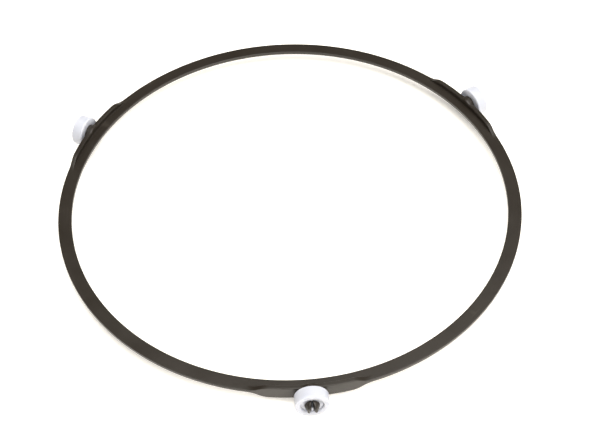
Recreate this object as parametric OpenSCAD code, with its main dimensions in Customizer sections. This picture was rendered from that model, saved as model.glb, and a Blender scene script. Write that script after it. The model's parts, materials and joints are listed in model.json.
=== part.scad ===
// Roller ring that carries the glass tray of a microwave oven: a moulded ring with three snap-on rollers.
// The ring's axis is Z, and the origin is where the three roller axles meet it.

/* [Ring band] */
// Radius of the band's outer edge
ring_r = 107; // [95:0.5:130]
// Width of the flat band, measured across the ring
band_w = 6.2; // [5:0.1:10]
// Thickness of the band
band_t = 1.7; // [1.2:0.1:2.6]
// Rounding of the band's four long edges
band_edge = 0.3; // [0.1:0.05:0.5]

/* [Walls at the rollers] */
// Thickness of each upright wall on the band's outer edge
wall_t = 2.0; // [1.4:0.1:3]
// Height of the wall, half above the band's middle and half below it
wall_h = 6.6; // [5:0.1:7.6]
// Length of the wall at its full height
wall_len = 34; // [20:0.5:44]
// Length of the S-shaped run-out at each end of the wall
ramp_len = 9.4; // [5:0.2:14]
// Rounding where the wall's inner face meets the band
wall_fillet = 0.2; // [0.1:0.05:0.6]

/* [Bosses] */
// How far the round boss rises above the wall's top edge, and below its bottom edge
boss_rise = 0.9; // [0.5:0.1:1.3]
// Radius of the hollow curve that blends the boss into the wall's edges
boss_blend = 5; // [2:0.5:8]
// How much smaller the collar on the wall's outer face is than the boss, in diameter
collar_step = 0.4; // [0.2:0.1:1]
// How far the collar stands outward from the wall's outer face
collar_out = 1.2; // [0.8:0.1:3]

/* [Snap pins] */
// Diameter of the pin inside the roller
pin_d = 5.4; // [4.6:0.1:5.6]
// Diameter of the pin's head behind its shoulder
head_d = 6.3; // [5.9:0.1:6.8]
// Diameter of the head at its tip
tip_d = 4.4; // [3.6:0.1:5.4]
// Length of the head, from its shoulder to its tip
head_len = 3.1; // [2.6:0.1:4]
// Length of the straight rim behind the head's taper
head_rim = 0.6; // [0.3:0.1:0.9]
// Width of the slot, which lets the two prongs close while the roller snaps over the head
slot_w = 0.8; // [0.5:0.1:1.2]
// Width of the slot at the tip, where it opens in a V
slot_mouth = 2.9; // [1.6:0.1:3.2]
// Length of the V at the slot's mouth
slot_flare = 2.3; // [1:0.1:2.5]
// Diameter of the relief hole at the root of the slot
relief_d = 1.8; // [1.4:0.1:2.2]
// Solid length between the collar's face and the relief hole
root_land = 0.4; // [0.2:0.1:0.8]

/* [Rollers] */
// Diameter of the roller's tread
roller_d = 14.5; // [12:0.1:18]
// Width of the roller between its two faces
roller_w = 5.4; // [4.6:0.1:7]
// Rounding of the tread's two edges
roller_edge = 0.5; // [0.2:0.1:0.9]
// Diameter of the dish in the outer face
dish_d = 9.6; // [9:0.1:10.2]
// Depth of the dish
dish_depth = 1.0; // [0.5:0.1:1.4]
// Bevel round the dish's mouth
dish_bevel = 0.4; // [0.2:0.1:0.5]
// Bevel at the bore's inner mouth, which leads the roller over the head
bore_lead = 0.4; // [0.2:0.1:0.6]

/* [Fits] */
// Radial clearance between pin and roller bore
bore_play = 0.08; // [0.02:0.01:0.1]
// Endwise clearance at each side of the roller's hub
end_play = 0.2; // [0.1:0.05:0.3]

/* [Hidden] */
$fn = 96;

front_angle = 270;
right_angle = 30;
left_angle = 150;
pin_angles = [front_angle, right_angle, left_angle];

// How far a hollow curve sinks into what it meets, so that the two cross
lap = 0.02;
// How far cutting shapes pass the faces that they cut
past = 1;

band_inner_r = ring_r - band_w;
wall_inner_r = ring_r - wall_t;
wall_mid_r = ring_r - wall_t / 2;
boss_d = wall_h + 2 * boss_rise;
collar_d = boss_d - collar_step;
collar_face = ring_r + collar_out;

bore_d = pin_d + 2 * bore_play;
hub_w = roller_w - dish_depth;
roller_start = collar_face + end_play;
shoulder = roller_start + hub_w + end_play;
tip = shoulder + head_len;
slot_root = collar_face + root_land + relief_d / 2;

// Turns a shape that stands along +Z so that it points out of the ring at the given angle
module along_pin(angle, distance) {
    rotate([0, 0, angle])
        translate([distance, 0, 0])
            rotate([0, 90, 0])
                children();
}

// Repeats a quarter of an outline in all four quarters
module four_quarters() {
    for (x = [0, 1])
        for (y = [0, 1])
            mirror([x, 0])
                mirror([0, y])
                    children();
}

// Section of the band, a rectangle with four round corners
module band_section() {
    half = band_t / 2;
    translate([band_inner_r + band_edge, -half])
        square([band_w - 2 * band_edge, band_t]);
    translate([band_inner_r, band_edge - half])
        square([band_w, band_t - 2 * band_edge]);
    for (x = [band_inner_r + band_edge, ring_r - band_edge])
        for (y = [band_edge - half, half - band_edge])
            translate([x, y])
                circle(r = band_edge, $fn = 32);
}

// Section of the wall before its outline is cut, with a round inside corner above and below the band
module wall_section() {
    corner = band_t / 2 + wall_fillet;
    translate([wall_inner_r, -boss_d / 2 - past])
        square([wall_t, boss_d + 2 * past]);
    for (side = [0, 1])
        mirror([0, side])
            difference() {
                translate([wall_inner_r - wall_fillet, 0])
                    square([wall_fillet, corner]);
                translate([wall_inner_r - wall_fillet, corner])
                    circle(r = wall_fillet, $fn = 32);
            }
}

// A quarter of the wall's side view: level, then an S of two equal arcs down to the band
module wall_quarter() {
    top = wall_h / 2;
    drop = top - band_t / 2;
    bend = (ramp_len * ramp_len + drop * drop) / (4 * drop);
    square([wall_len / 2, top]);
    translate([wall_len / 2, 0])
        intersection() {
            square([ramp_len / 2 + past, top]);
            translate([0, top - bend])
                circle(r = bend, $fn = 180);
        }
    translate([wall_len / 2 + ramp_len / 2, 0])
        difference() {
            square([ramp_len / 2, top]);
            translate([ramp_len / 2, band_t / 2 + bend - lap])
                circle(r = bend, $fn = 180);
        }
}

// A quarter of the hollow blend between the wall's edge and the round boss
module blend_quarter() {
    reach = boss_d / 2 + boss_blend - lap;
    centre_y = wall_h / 2 + boss_blend - lap;
    centre_x = sqrt(reach * reach - centre_y * centre_y);
    difference() {
        square([centre_x, centre_y * boss_d / 2 / reach]);
        translate([centre_x, centre_y])
            circle(r = boss_blend);
    }
}

// Side view of the wall with its boss
module wall_outline() {
    four_quarters() {
        wall_quarter();
        blend_quarter();
    }
    circle(d = boss_d);
}

module band() {
    rotate_extrude($fn = 360)
        band_section();
}

module wall(angle) {
    intersection() {
        rotate_extrude($fn = 360)
            wall_section();
        rotate([0, 0, angle])
            rotate([90, 0, 90])
                linear_extrude(ring_r + past)
                    wall_outline();
    }
}

// Collar that holds the roller off the wall
module collar(angle) {
    along_pin(angle, wall_mid_r)
        cylinder(h = collar_face - wall_mid_r, d = collar_d);
}

// Straight shank with a tapered head, before the slot is cut
module pin_blank(angle) {
    shank = shoulder - wall_mid_r;
    along_pin(angle, wall_mid_r)
        rotate_extrude()
            polygon([
                [0, 0],
                [pin_d / 2, 0],
                [pin_d / 2, shank],
                [head_d / 2, shank],
                [head_d / 2, shank + head_rim],
                [tip_d / 2, shank + head_len],
                [0, shank + head_len]
            ]);
}

// The slot between the prongs, with its round relief at the root and its V at the tip
module pin_slot(angle) {
    deep = head_d + 2 * past;
    rotate([0, 0, angle])
        translate([0, 0, -deep / 2]) {
            translate([slot_root, -slot_w / 2, 0])
                cube([tip + past - slot_root, slot_w, deep]);
            translate([slot_root, 0, 0])
                cylinder(h = deep, d = relief_d);
            linear_extrude(deep)
                polygon([
                    [tip - slot_flare, -slot_w / 2],
                    [tip, -slot_mouth / 2],
                    [tip + past, -slot_mouth / 2],
                    [tip + past, slot_mouth / 2],
                    [tip, slot_mouth / 2],
                    [tip - slot_flare, slot_w / 2]
                ]);
        }
}

module snap_pin(angle) {
    difference() {
        pin_blank(angle);
        pin_slot(angle);
    }
}

module ring_frame() {
    color([0.24, 0.20, 0.16]) {
        band();
        for (angle = pin_angles) {
            wall(angle);
            collar(angle);
            snap_pin(angle);
        }
    }
}

// Half section of the roller, from its flat inner face at zero to its dished outer face
module roller_section() {
    tread = roller_d / 2;
    bore = bore_d / 2;
    difference() {
        translate([bore, 0])
            rounded_block(tread - bore, roller_w, roller_edge);
        polygon([
            [bore - past, roller_w + past],
            [dish_d / 2 + dish_bevel + past, roller_w + past],
            [dish_d / 2, roller_w - dish_bevel],
            [dish_d / 2, hub_w],
            [bore - past, hub_w]
        ]);
        polygon([
            [bore - past, -past],
            [bore + bore_lead + past, -past],
            [bore - past, bore_lead + past]
        ]);
    }
}

// A rectangle whose two far corners are round
module rounded_block(width, height, edge) {
    square([width - edge, height]);
    translate([0, edge])
        square([width, height - 2 * edge]);
    for (y = [edge, height - edge])
        translate([width - edge, y])
            circle(r = edge, $fn = 32);
}

module roller(angle) {
    color([0.95, 0.95, 0.97])
        along_pin(angle, roller_start)
            rotate_extrude()
                roller_section();
}

module front_roller() {
    roller(front_angle);
}

module right_roller() {
    roller(right_angle);
}

module left_roller() {
    roller(left_angle);
}

ring_frame();
front_roller();
right_roller();
left_roller();
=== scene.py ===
# Looks of the roller ring that carries a microwave oven's glass tray: a brown moulded ring and three
# white rollers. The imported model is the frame, and everything here is in metres in that frame.
import json
import math

import bmesh
import bpy
from mathutils import Matrix, Vector


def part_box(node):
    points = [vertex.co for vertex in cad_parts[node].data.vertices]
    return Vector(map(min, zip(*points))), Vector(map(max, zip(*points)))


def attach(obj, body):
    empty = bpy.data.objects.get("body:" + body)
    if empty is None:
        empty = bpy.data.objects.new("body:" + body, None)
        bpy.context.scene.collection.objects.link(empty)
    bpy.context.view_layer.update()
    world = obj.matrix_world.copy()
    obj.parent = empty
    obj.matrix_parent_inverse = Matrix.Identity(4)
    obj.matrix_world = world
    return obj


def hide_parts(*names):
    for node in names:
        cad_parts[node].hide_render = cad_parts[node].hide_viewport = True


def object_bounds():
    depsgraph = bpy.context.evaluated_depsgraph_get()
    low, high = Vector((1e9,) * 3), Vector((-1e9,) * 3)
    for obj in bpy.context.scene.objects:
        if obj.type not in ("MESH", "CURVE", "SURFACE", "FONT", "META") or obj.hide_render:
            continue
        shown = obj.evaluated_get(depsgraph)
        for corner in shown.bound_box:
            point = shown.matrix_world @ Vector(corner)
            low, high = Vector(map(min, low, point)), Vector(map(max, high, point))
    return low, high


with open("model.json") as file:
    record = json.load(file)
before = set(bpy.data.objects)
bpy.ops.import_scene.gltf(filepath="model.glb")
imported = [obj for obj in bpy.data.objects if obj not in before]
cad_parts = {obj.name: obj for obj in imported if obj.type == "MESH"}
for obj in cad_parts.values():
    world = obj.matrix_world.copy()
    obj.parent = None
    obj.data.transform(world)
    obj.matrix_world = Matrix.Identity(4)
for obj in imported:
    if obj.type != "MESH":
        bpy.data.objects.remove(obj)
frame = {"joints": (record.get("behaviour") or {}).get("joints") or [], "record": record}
cad_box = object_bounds()

# Camera
# It stands in front of the ring and looks down on it at 49 degrees, as in the photograph, through a
# long lens, and it is held a little askew.
camera_place = (-0.0217, -0.40784, 0.45772)
camera_aim = (0.00408, -0.00917, 0.0)
camera_roll = math.radians(-1.726)
camera_lens = 79.2
camera_sensor = 36.0

view_line = Vector(camera_aim) - Vector(camera_place)
camera_turn = view_line.to_track_quat("-Z", "Y").to_matrix().to_4x4()
bpy.ops.object.camera_add(location=camera_place)
camera = bpy.context.object
camera.matrix_world = Matrix.Translation(camera_place) @ camera_turn @ Matrix.Rotation(camera_roll, 4, "Z")
camera.data.sensor_width = camera_sensor
camera.data.lens = camera_lens
camera.data.clip_start = 0.01
bpy.context.scene.camera = camera

# Floor and light
# A white light table, under three broad softboxes, so bright that it shows almost no shadow. The one
# at the back whitens the rollers' far faces and shows in no gloss, so the band keeps its even sheen.
floor_size = 12.0
floor_z = cad_box[0][2]

bpy.ops.mesh.primitive_plane_add(size=floor_size, location=(0, 0, floor_z))
floor = bpy.context.object
floor.name = "floor"
floor_paint = bpy.data.materials.new("white_table")
floor_paint.use_nodes = True
floor_shader = floor_paint.node_tree.nodes["Principled BSDF"]
floor_shader.inputs["Base Color"].default_value = (0.93, 0.905, 0.86, 1)
floor_shader.inputs["Roughness"].default_value = 0.8
floor_shader.inputs["Specular IOR Level"].default_value = 0.2
floor_shader.inputs["Emission Color"].default_value = (1.0, 0.97, 0.92, 1)
floor_shader.inputs["Emission Strength"].default_value = 0.3
floor.data.materials.append(floor_paint)

sky = bpy.data.worlds.new("white_room")
sky.use_nodes = True
sky.node_tree.nodes["Background"].inputs["Color"].default_value = (1.0, 0.96, 0.90, 1)
sky.node_tree.nodes["Background"].inputs["Strength"].default_value = 0.24
bpy.context.scene.world = sky

soft_white = (1.0, 0.98, 0.94)


def softbox(name, place, side, power):
    """A square area light at a place, turned towards the ring's middle."""
    bpy.ops.object.light_add(type="AREA", location=place)
    lamp = bpy.context.object
    lamp.name = name
    lamp.rotation_euler = (-Vector(place)).to_track_quat("-Z", "Y").to_euler()
    lamp.data.shape = "SQUARE"
    lamp.data.size = side
    lamp.data.energy = power
    lamp.data.color = soft_white
    return lamp


softbox("overhead_softbox", place=(0.15, -0.25, 1.3), side=1.5, power=36.0)
softbox("front_softbox", place=(0.9, -1.1, 0.8), side=0.9, power=14.0)
back_softbox = softbox("back_softbox", place=(-0.7, 1.2, 0.5), side=0.9, power=12.0)
back_softbox.visible_glossy = False

bpy.context.scene.view_settings.view_transform = "Standard"

# Ring
# One injection moulding in dark brown plastic: a flat band with an upright wall along its outer edge
# at each roller, a round boss in each wall, and a split pin with a snap head standing out of each boss.
mm = 0.001
ring_low, ring_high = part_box("ring_frame")
ring_r = ring_high.x
band_w = 6.2 * mm
band_t = 1.7 * mm
wall_t = 2.0 * mm
wall_h = 6.6 * mm
wall_len = 34 * mm
ramp_len = 9.4 * mm
wall_fillet = 0.2 * mm
edge_round = 0.3 * mm
boss_r = ring_high.z
boss_blend = 5.0 * mm
round_steps = 4
fillet_steps = 3
crease = math.radians(35)
crease_steps = 2

band_half = band_t / 2
wall_half = wall_h / 2
wall_rise = wall_half - band_half
wall_inner_r = ring_r - wall_t
near = 0.01 * mm


def start_piece(name, stretch=(1, 1, 1)):
    """Names and stretches the primitive that was just added, puts its place in its mesh and opens it."""
    piece = bpy.context.object
    piece.name = name
    piece.scale = stretch
    bpy.ops.object.transform_apply(location=True, rotation=True, scale=True)
    bpy.ops.object.mode_set(mode="EDIT")
    return piece


def choose(kind, wanted):
    """Selects the vertices, edges or faces of the open piece that are wanted, and nothing else."""
    bpy.ops.mesh.select_mode(type=kind)
    bpy.ops.mesh.select_all(action="DESELECT")
    mesh = bpy.context.edit_object.data
    shape = bmesh.from_edit_mesh(mesh)
    for part in {"VERT": shape.verts, "EDGE": shape.edges, "FACE": shape.faces}[kind]:
        if wanted(part):
            part.select_set(True)
    shape.select_flush_mode()
    bmesh.update_edit_mesh(mesh)


def pull(move):
    """Extrudes what is selected by a move."""
    bpy.ops.mesh.extrude_region_move(TRANSFORM_OT_translate={"value": move})


def use_modifier(piece, kind, **settings):
    """Adds a modifier to a piece and applies it."""
    bpy.context.view_layer.objects.active = piece
    modifier = piece.modifiers.new(kind.lower(), kind)
    for name, value in settings.items():
        setattr(modifier, name, value)
    bpy.ops.object.modifier_apply(modifier=modifier.name)


def smooth(piece):
    """Smooth shading between faces that meet flatter than a crease, with flat faces kept flat."""
    bpy.ops.object.select_all(action="DESELECT")
    piece.select_set(True)
    bpy.context.view_layer.objects.active = piece
    bpy.ops.object.shade_smooth_by_angle(angle=crease)
    use_modifier(piece, "WEIGHTED_NORMAL", keep_sharp=True, mode="FACE_AREA")


def round_creases(piece, width):
    """A small rounding along every edge that is sharper than a crease."""
    use_modifier(
        piece,
        "BEVEL",
        width=width,
        segments=crease_steps,
        limit_method="ANGLE",
        angle_limit=crease,
    )


def at_wall_foot(corner):
    """Whether a corner of the section is the hollow one between band and wall."""
    return abs(corner.co.x - wall_inner_r) < near and abs(abs(corner.co.z) - band_half) < near


# The section through band and wall, a plane that is cut at the wall's foot and drawn up and down there
bpy.ops.object.select_all(action="DESELECT")
bpy.ops.mesh.primitive_plane_add(
    size=1,
    location=(ring_r - band_w / 2, 0, 0),
    rotation=(math.pi / 2, 0, 0),
)
ring = start_piece("moulded_ring", (band_w, band_t, 1))
bpy.ops.mesh.select_all(action="SELECT")
bpy.ops.mesh.bisect(plane_co=(wall_inner_r, 0, 0), plane_no=(1, 0, 0))
for side in (1, -1):
    choose("EDGE", lambda e: all(v.co.x > wall_inner_r - near and v.co.z * side > near for v in e.verts))
    pull((0, 0, side * wall_rise))
bpy.ops.mesh.select_all(action="SELECT")
bpy.ops.mesh.dissolve_faces()
choose("VERT", lambda v: v.co.x > ring_r - near and abs(v.co.z) < wall_half - near)
bpy.ops.mesh.dissolve_verts()
bpy.ops.mesh.select_all(action="SELECT")
bpy.ops.mesh.bisect(plane_co=(0, 0, 0), plane_no=(0, 0, 1))
bpy.ops.mesh.select_all(action="SELECT")
bpy.ops.mesh.dissolve_faces()
choose("VERT", lambda v: abs(v.co.z) > near and not at_wall_foot(v))
bpy.ops.mesh.bevel(offset=edge_round, segments=round_steps, affect="VERTICES")
choose("VERT", at_wall_foot)
bpy.ops.mesh.bevel(offset=wall_fillet, segments=fillet_steps, affect="VERTICES")
bpy.ops.mesh.select_all(action="SELECT")
bpy.ops.mesh.delete(type="ONLY_FACE")

# A third of the ring is spun from one pin's direction to the next, with close steps where the wall
# changes height, and is repeated for the other two rollers. Each stretch is an angle and its steps.
boss_margin = 0.2 * mm
ramp_margin = 0.4 * mm
boss_end = math.asin((boss_r + boss_margin) / ring_r)
ramp_start = math.asin((wall_len / 2 - ramp_margin) / ring_r)
ramp_end = math.asin((wall_len / 2 + ramp_len + ramp_margin) / ring_r)
third = math.radians(120)
boss = (boss_end, 22)
level = (ramp_start - boss_end, 8)
ramp = (ramp_end - ramp_start, 30)
plain = (third - 2 * ramp_end, 84)
bpy.ops.mesh.select_all(action="SELECT")
for angle, steps in (boss, level, ramp, plain, ramp, level, boss):
    bpy.ops.mesh.spin(steps=steps, angle=angle, center=(0, 0, 0), axis=(0, 0, 1))
bpy.ops.mesh.select_all(action="SELECT")
bpy.ops.mesh.spin(steps=2, angle=2 * third, center=(0, 0, 0), axis=(0, 0, 1), dupli=True)
bpy.ops.mesh.select_all(action="SELECT")
bpy.ops.mesh.remove_doubles(threshold=near)
bpy.ops.object.mode_set(mode="OBJECT")


def wall_height(across):
    """Height of the wall's edge above the band's middle, at a distance to the side of the pin."""
    across = abs(across)
    bend = (ramp_len**2 + wall_rise**2) / (4 * wall_rise)
    blend_z = wall_half + boss_blend
    blend_x = math.sqrt((boss_r + boss_blend) ** 2 - blend_z**2)
    if across < blend_x * boss_r / (boss_r + boss_blend):
        return math.sqrt(boss_r**2 - across**2)
    if across < blend_x:
        return blend_z - math.sqrt(boss_blend**2 - (blend_x - across) ** 2)
    past_level = across - wall_len / 2
    if past_level <= 0:
        return wall_half
    if past_level < ramp_len / 2:
        return wall_half - bend + math.sqrt(bend**2 - past_level**2)
    if past_level < ramp_len:
        return band_half + bend - math.sqrt(bend**2 - (ramp_len - past_level) ** 2)
    return band_half


# The wall's edge follows that height, with its roundings kept, and ends flush with the band
for vertex in ring.data.vertices:
    radius = math.hypot(vertex.co.x, vertex.co.y)
    above = abs(vertex.co.z) - band_half
    if radius < wall_inner_r - wall_fillet or above <= 0:
        continue
    from_pin = (math.atan2(vertex.co.y, vertex.co.x) + third / 2) % third - third / 2
    rise = wall_height(radius * math.sin(from_pin)) - band_half
    share = min(1.0, rise / (wall_fillet + edge_round))
    if above < wall_rise / 2:
        above *= share
    elif radius < ring_r - wall_t / 2:
        above = rise - (wall_rise - above) * share
    else:
        above += rise - wall_rise
    vertex.co.z = math.copysign(band_half + above, vertex.co.z)

# A snap pin along X: a collar, a straight shank and a tapered head, drawn out of a short cylinder
collar_r = 4.0 * mm
collar_face = ring_r + 1.2 * mm
pin_r = 2.7 * mm
head_r = 3.15 * mm
tip_r = 2.2 * mm
head_len = 3.1 * mm
head_rim = 0.6 * mm
slot_w = 0.8 * mm
slot_mouth = 2.9 * mm
slot_flare = 2.3 * mm
relief_r = 0.9 * mm
root_land = 0.4 * mm
pin_edge = 0.12 * mm
pin_sink = 1.4 * mm
pin_sides = 72
relief_sides = 32
cut_past = 1.0 * mm
along = 0.99
pin_root = ring_r - pin_sink
pin_tip = -ring_low.y
shoulder = pin_tip - head_len
slot_root = collar_face + root_land + relief_r
cut_deep = 3 * head_r


def widen(factor, x):
    """Scales what is selected about the X axis."""
    bpy.ops.transform.resize(value=(1, factor, factor), center_override=(x, 0, 0))


def add_rod(name, start, end, radius, sides):
    """A cylinder along X, opened in edit mode."""
    bpy.ops.object.select_all(action="DESELECT")
    bpy.ops.mesh.primitive_cylinder_add(
        vertices=sides,
        radius=radius,
        depth=end - start,
        location=((start + end) / 2, 0, 0),
        rotation=(0, math.pi / 2, 0),
    )
    return start_piece(name)


def cut(piece, cutter, operation="DIFFERENCE"):
    """Cuts a piece with another, or joins them, and removes the other."""
    use_modifier(piece, "BOOLEAN", object=cutter, operation=operation, solver="EXACT")
    bpy.data.objects.remove(cutter)


pin = add_rod("snap_pins", pin_root, collar_face, collar_r, pin_sides)
choose("FACE", lambda f: f.normal.x > along)
bpy.ops.mesh.inset(thickness=collar_r - pin_r)
pull((shoulder - collar_face, 0, 0))
pull((0, 0, 0))
widen(head_r / pin_r, shoulder)
pull((head_rim, 0, 0))
pull((head_len - head_rim, 0, 0))
widen(tip_r / head_r, pin_tip)
bpy.ops.object.mode_set(mode="OBJECT")

# The slot that splits it, straight and then open in a V, with a round relief at its root
bpy.ops.object.select_all(action="DESELECT")
bpy.ops.mesh.primitive_cube_add(size=1, location=((slot_root + pin_tip - slot_flare) / 2, 0, 0))
slot = start_piece("slot_cutter", (pin_tip - slot_flare - slot_root, slot_w, cut_deep))
choose("FACE", lambda f: f.normal.x > along)
pull((slot_flare, 0, 0))
bpy.ops.transform.resize(value=(1, slot_mouth / slot_w, 1), center_override=(pin_tip, 0, 0))
pull((cut_past, 0, 0))
bpy.ops.object.mode_set(mode="OBJECT")
bpy.ops.object.select_all(action="DESELECT")
bpy.ops.mesh.primitive_cylinder_add(
    vertices=relief_sides,
    radius=relief_r,
    depth=cut_deep,
    location=(slot_root, 0, 0),
)
relief = start_piece("relief_cutter")
bpy.ops.object.mode_set(mode="OBJECT")
cut(pin, slot)
cut(pin, relief)
round_creases(pin, pin_edge)

# Three pins, moulded in one with the ring, which then turns so that one of them points forward
bpy.ops.object.mode_set(mode="EDIT")
bpy.ops.mesh.select_all(action="SELECT")
bpy.ops.mesh.spin(steps=2, angle=2 * third, center=(0, 0, 0), axis=(0, 0, 1), dupli=True)
bpy.ops.object.mode_set(mode="OBJECT")
cut(ring, pin, "UNION")
ring.rotation_euler.z = math.radians(30)
bpy.ops.object.select_all(action="DESELECT")
ring.select_set(True)
bpy.ops.object.transform_apply(rotation=True)
smooth(ring)


def node(tree, kind, links=(), **settings):
    """A new node with its settings, each input linked from another node's output or set to a value."""
    made = tree.nodes.new(kind)
    for name, value in settings.items():
        setattr(made, name, value)
    for name, value in links:
        if isinstance(value, bpy.types.NodeSocket):
            tree.links.new(value, made.inputs[name])
        else:
            made.inputs[name].default_value = value
    return made


def spread(tree, value, start, end, low=0.0, high=1.0):
    """A value that runs from start to end, spread from low to high and held there outside them."""
    links = [("Value", value), ("From Min", start), ("From Max", end), ("To Min", low), ("To Max", high)]
    return node(tree, "ShaderNodeMapRange", links).outputs["Result"]


def mix_colours(tree, share, first, second):
    """A colour between two, as far along as the share says, on the mixer's own colour sockets."""
    links = [("Factor", share), (6, first), (7, second)]
    return node(tree, "ShaderNodeMix", links, data_type="RGBA").outputs[2]


def new_group(name, inputs, outputs):
    """An empty shader node group with named number sockets, and its input and output nodes."""
    tree = bpy.data.node_groups.new(name, "ShaderNodeTree")
    for socket in inputs:
        tree.interface.new_socket(socket, in_out="INPUT", socket_type="NodeSocketFloat")
    for socket in outputs:
        tree.interface.new_socket(socket, in_out="OUTPUT", socket_type="NodeSocketFloat")
    return tree, node(tree, "NodeGroupInput"), node(tree, "NodeGroupOutput")


def make_moulded_skin():
    """The skin of moulded plastic: a fine grain, and broad cloudy shades."""
    tree, inlet, outlet = new_group("moulded_skin", ("Grain size", "Cloud size"), ("Grain", "Clouds"))
    place = node(tree, "ShaderNodeTexCoord").outputs["Object"]
    for size, mask, detail in (("Grain size", "Grain", 3.0), ("Cloud size", "Clouds", 4.0)):
        per_metre = node(tree, "ShaderNodeMath", [(0, 1.0), (1, inlet.outputs[size])], operation="DIVIDE")
        links = [("Vector", place), ("Scale", per_metre.outputs[0]), ("Detail", detail)]
        noise = node(tree, "ShaderNodeTexNoise", links)
        tree.links.new(noise.outputs["Fac"], outlet.inputs[mask])
    return tree


def make_edge_wear_and_highlight():
    """Rubbed edges with a painted edge highlight: bright where the surface turns sharply outwards."""
    tree, inlet, outlet = new_group("edge_wear_and_highlight", ("Amount",), ("Wear and highlight",))
    rub_and_highlight_start = 0.52
    rub_and_highlight_full = 0.62
    bend = node(tree, "ShaderNodeNewGeometry").outputs["Pointiness"]
    edge = spread(tree, bend, rub_and_highlight_start, rub_and_highlight_full)
    wear_and_highlight = node(tree, "ShaderNodeMath", [(0, edge), (1, inlet.outputs["Amount"])], operation="MULTIPLY")
    tree.links.new(wear_and_highlight.outputs[0], outlet.inputs["Wear and highlight"])
    return tree


moulded_skin = make_moulded_skin()
edge_wear_and_highlight = make_edge_wear_and_highlight()
cloud_low = 0.3
cloud_high = 0.7


def moulded_plastic(name, deep, pale, rubbed_and_highlit, rough, grain_height, grain_size, cloud_size, wear_and_highlight):
    """Moulded plastic between a deep and a pale shade, lighter at its edges from rubbing and a painted
    edge highlight, with a fine grain.
    """
    material = bpy.data.materials.new(name)
    material.use_nodes = True
    tree = material.node_tree
    shader = tree.nodes["Principled BSDF"]
    sizes = [("Grain size", grain_size), ("Cloud size", cloud_size)]
    skin = node(tree, "ShaderNodeGroup", sizes, node_tree=moulded_skin)
    edges = node(tree, "ShaderNodeGroup", [("Amount", wear_and_highlight)], node_tree=edge_wear_and_highlight)
    shades = mix_colours(tree, skin.outputs["Clouds"], (*deep, 1), (*pale, 1))
    # Edges turn to the lighter edge shade: partly wear, partly a painted edge highlight.
    worn_and_highlit = mix_colours(tree, edges.outputs["Wear and highlight"], shades, (*rubbed_and_highlit, 1))
    tree.links.new(worn_and_highlit, shader.inputs["Base Color"])
    roughness = spread(tree, skin.outputs["Clouds"], cloud_low, cloud_high, *rough)
    tree.links.new(roughness, shader.inputs["Roughness"])
    bump = node(tree, "ShaderNodeBump", [("Height", skin.outputs["Grain"]), ("Distance", grain_height)])
    tree.links.new(bump.outputs["Normal"], shader.inputs["Normal"])
    return material


brown_plastic = moulded_plastic(
    "dark_brown_plastic",
    deep=(0.0088, 0.0056, 0.0026),
    pale=(0.0135, 0.0092, 0.0048),
    # The edges' shade: rubbed plastic, and a painted highlight along the ring's edges.
    rubbed_and_highlit=(0.045, 0.037, 0.028),
    rough=(0.36, 0.46),
    grain_height=0.012 * mm,
    grain_size=0.35 * mm,
    cloud_size=14 * mm,
    wear_and_highlight=0.35,
)
ring.data.materials.clear()
ring.data.materials.append(brown_plastic)

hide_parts("ring_frame")
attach(ring, "ring")

# Rollers
# Three white plastic rollers, each one moulding: a round tread, a dished outer face and a bore that
# turns on the ring's pin. They were pushed over the split heads, which hold them on.
roller_low, roller_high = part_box("front_roller")
roller_r = roller_high.z
roller_in = -roller_high.y
roller_out = -roller_low.y
roller_edge = 0.5 * mm
dish_r = 4.8 * mm
dish_depth = 1.0 * mm
dish_bevel = 0.4 * mm
bore_r = pin_r + 0.08 * mm
bore_lead = 0.4 * mm
rim_edge = 0.14 * mm
tread_steps = 5
roller_sides = 96


def off_axis(vertex):
    """Distance of a vertex from the X axis."""
    return math.hypot(vertex.co.y, vertex.co.z)


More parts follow.
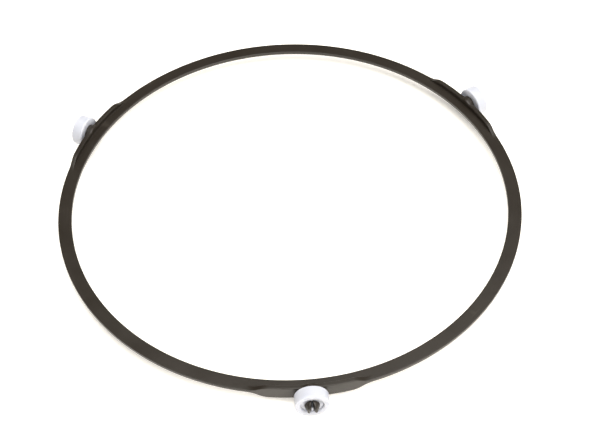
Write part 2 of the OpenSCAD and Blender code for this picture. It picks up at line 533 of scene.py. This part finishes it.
roller = add_rod("roller", roller_in, roller_out, roller_r, roller_sides)
choose("EDGE", lambda e: abs(e.verts[0].co.x - e.verts[1].co.x) < near)
bpy.ops.mesh.bevel(offset=roller_edge, segments=tread_steps)
choose("FACE", lambda f: f.normal.x > along)
bpy.ops.mesh.inset(thickness=roller_r - roller_edge - dish_r - dish_bevel)
pull((-dish_bevel, 0, 0))
widen(dish_r / (dish_r + dish_bevel), roller_out - dish_bevel)
pull((dish_bevel - dish_depth, 0, 0))
bpy.ops.mesh.inset(thickness=dish_r - bore_r)
choose("FACE", lambda f: f.normal.x < -along)
bpy.ops.mesh.inset(thickness=roller_r - roller_edge - bore_r - bore_lead)
pull((bore_lead, 0, 0))
widen(bore_r / (bore_r + bore_lead), roller_in + bore_lead)
choose("FACE", lambda f: abs(f.normal.x) > along and max(off_axis(v) for v in f.verts) < bore_r + near)
bpy.ops.mesh.delete(type="FACE")
choose("EDGE", lambda e: e.is_boundary)
bpy.ops.mesh.bridge_edge_loops()
bpy.ops.object.mode_set(mode="OBJECT")
round_creases(roller, rim_edge)

white_plastic = moulded_plastic(
    "white_roller_plastic",
    deep=(0.45, 0.465, 0.53),
    pale=(0.51, 0.525, 0.575),
    # The edges' shade: rubbed plastic, and a painted highlight along the rollers' edges.
    rubbed_and_highlit=(0.56, 0.57, 0.61),
    rough=(0.34, 0.44),
    grain_height=0.006 * mm,
    grain_size=0.4 * mm,
    cloud_size=6 * mm,
    wear_and_highlight=0.2,
)
white_shader = white_plastic.node_tree.nodes["Principled BSDF"]
white_shader.inputs["Subsurface Weight"].default_value = 0.7
white_shader.inputs["Subsurface Scale"].default_value = 0.002
white_shader.inputs["Subsurface Radius"].default_value = (1.0, 0.95, 0.9)

for joint in frame["joints"]:
    solid = frame["record"]["behaviour"]["bodies"][joint["child"]][0]
    copy = roller.copy()
    copy.data = roller.data.copy()
    copy.name = f"{solid}_moulding"
    bpy.context.scene.collection.objects.link(copy)
    copy.rotation_euler.z = math.atan2(joint["axis"][1], joint["axis"][0])
    bpy.ops.object.select_all(action="DESELECT")
    copy.select_set(True)
    bpy.context.view_layer.objects.active = copy
    bpy.ops.object.transform_apply(rotation=True)
    smooth(copy)
    copy.data.materials.append(white_plastic)
    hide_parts(solid)
    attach(copy, joint["child"])
bpy.data.objects.remove(roller)
